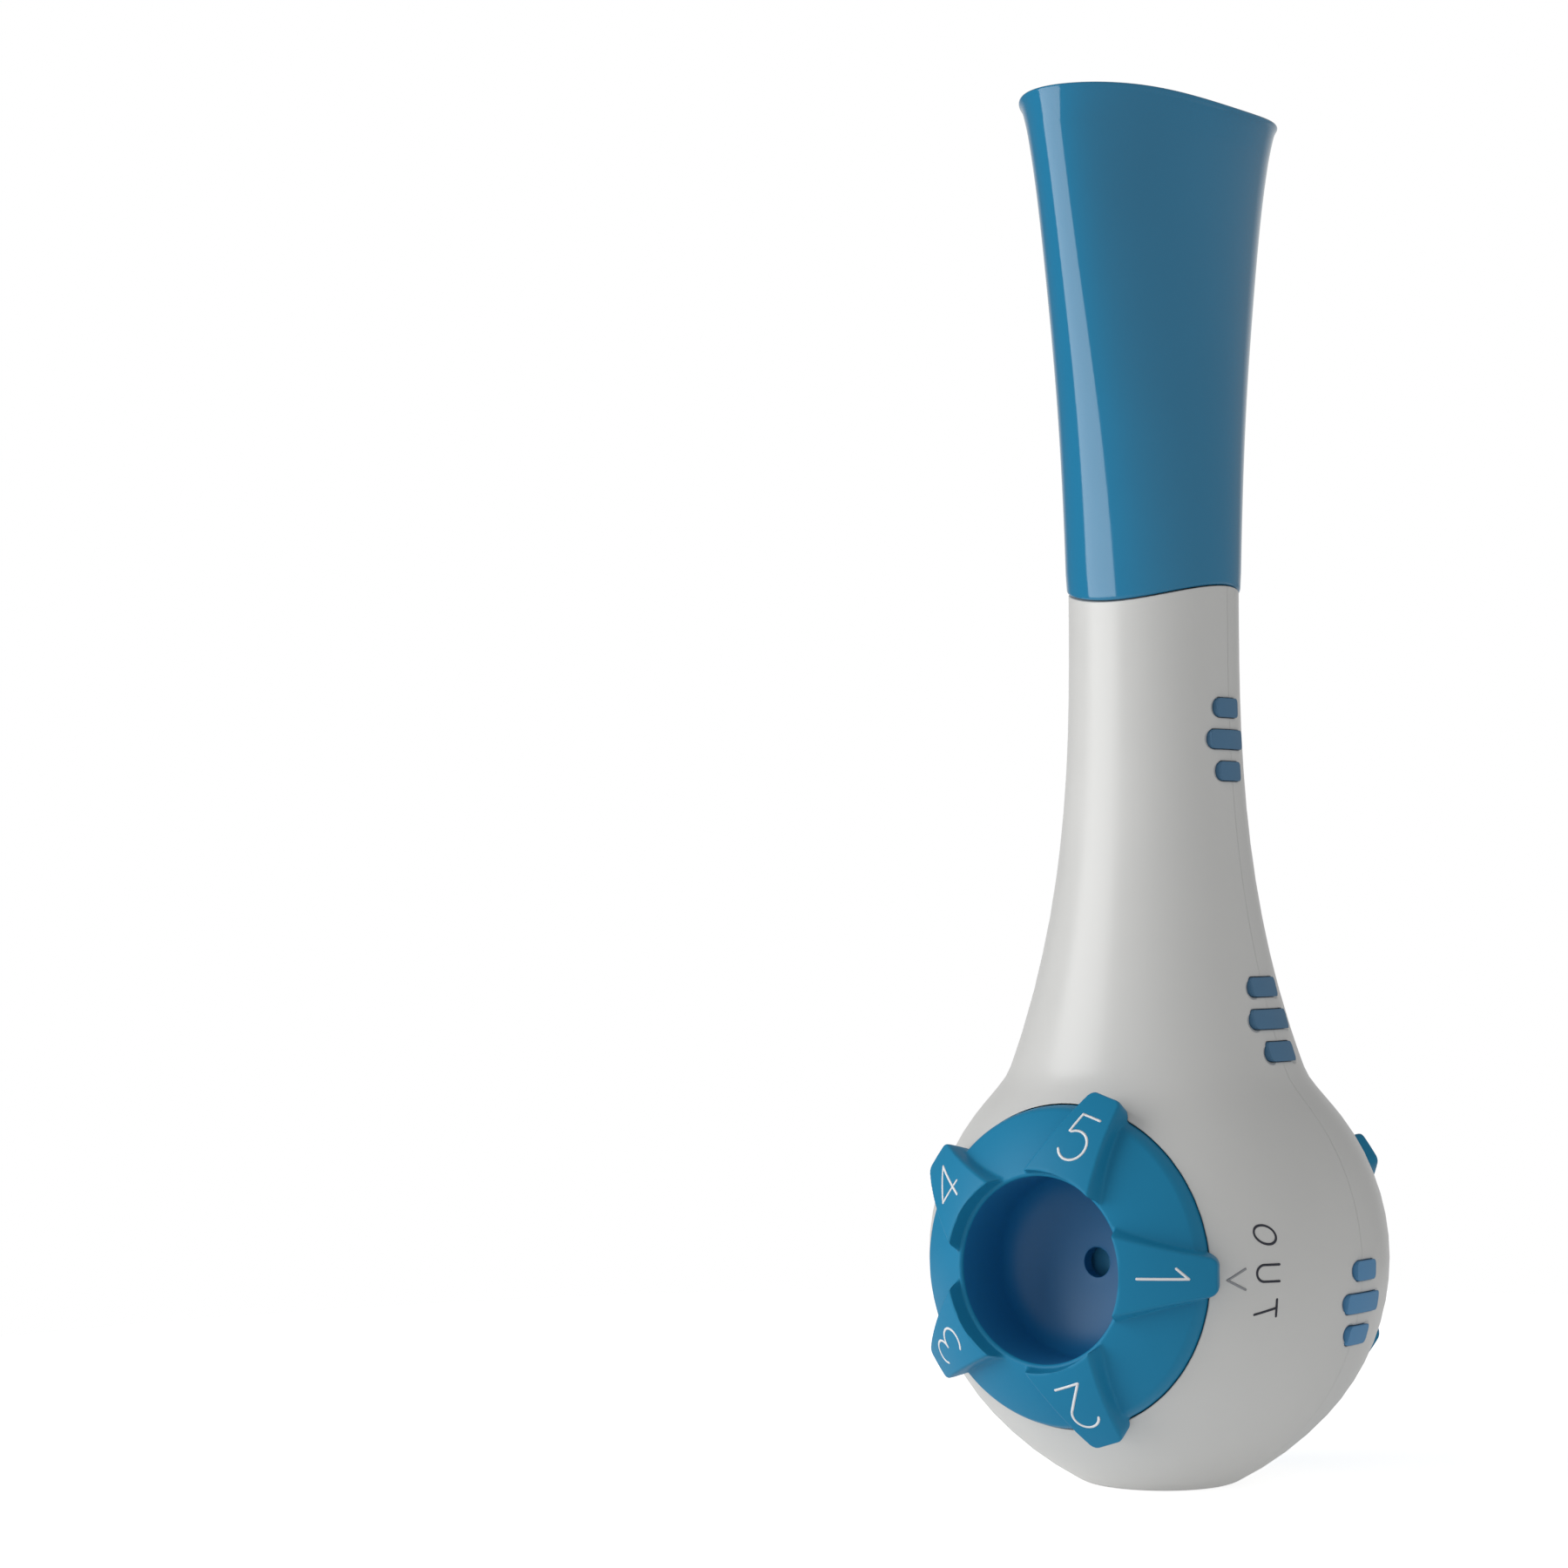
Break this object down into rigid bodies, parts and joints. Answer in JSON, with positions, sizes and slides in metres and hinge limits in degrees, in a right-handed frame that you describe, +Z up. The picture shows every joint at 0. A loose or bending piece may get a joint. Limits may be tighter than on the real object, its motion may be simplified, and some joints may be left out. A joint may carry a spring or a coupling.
{
  "type": "breathing trainer",
  "caption": "Hand-held breathing trainer: round bulb with an exhale dial and an inhale dial, slender neck with grip pads, oval pull-off mouthpiece.",
  "frame": {"origin": "centre of the flat standing face under the bulb", "axes": "+Z up the long axis to the mouthpiece, the exhale dial faces -Y and the inhale dial +Y, the grip pads lie on +X and -X"},
  "size_m": [0.0522, 0.0528, 0.1547],
  "materials": {
    "shell_plastic": "satin light grey, faintly metallic",
    "mouthpiece_plastic": "smooth satin blue",
    "dial_plastic": "smooth satin blue",
    "grip_elastomer": "matte soft-touch blue",
    "natural_plastic": "natural moulded",
    "silicone": "translucent silicone",
    "black_rubber": "black rubber",
    "spring_steel": "spring steel"
  },
  "bodies": {
    "housing": {"front_shell": "shell_plastic", "rear_shell": "shell_plastic", "airway_tube": "natural_plastic", "mouthpiece_oring": "black_rubber", "upper_grip_right": "grip_elastomer", "upper_grip_left": "grip_elastomer", "middle_grip_right": "grip_elastomer", "middle_grip_left": "grip_elastomer", "lower_grip_right": "grip_elastomer", "lower_grip_left": "grip_elastomer", "exhale_port_plate": "natural_plastic", "exhale_port_seal": "silicone", "exhale_valve_seat": "natural_plastic", "exhale_click_spring": "spring_steel", "inhale_port_plate": "natural_plastic", "inhale_port_seal": "silicone", "inhale_valve_stop": "natural_plastic", "inhale_click_spring": "spring_steel"},
    "mouthpiece": {"mouthpiece": "mouthpiece_plastic"},
    "exhale_dial": {"exhale_dial": "dial_plastic", "exhale_dial_oring": "black_rubber", "exhale_metering_disc": "natural_plastic"},
    "exhale_valve_disc": {"exhale_valve_disc": "silicone"},
    "inhale_dial": {"inhale_dial": "dial_plastic", "inhale_dial_oring": "black_rubber", "inhale_metering_disc": "natural_plastic"},
    "inhale_valve_disc": {"inhale_valve_disc": "silicone"}
  },
  "joints": [
    {"name": "mouthpiece_pull", "type": "slide", "parent": "housing", "child": "mouthpiece", "axis": [0, 0, 1], "range_m": [0, 0.02]},
    {"name": "exhale_dial_turn", "type": "hinge", "parent": "housing", "child": "exhale_dial", "pos_m": [0, -0.0142, 0.0255], "axis": [0, -1, 0], "continuous": true, "deforming": ["exhale_click_spring"]},
    {"name": "exhale_valve_lift", "type": "slide", "parent": "housing", "child": "exhale_valve_disc", "axis": [0, -1, 0], "range_m": [0, 0.0008]},
    {"name": "inhale_dial_turn", "type": "hinge", "parent": "housing", "child": "inhale_dial", "pos_m": [0, 0.0142, 0.0255], "axis": [0, 1, 0], "continuous": true, "deforming": ["inhale_click_spring"]},
    {"name": "inhale_valve_lift", "type": "slide", "parent": "housing", "child": "inhale_valve_disc", "axis": [0, -1, 0], "range_m": [0, 0.0008]}
  ]
}
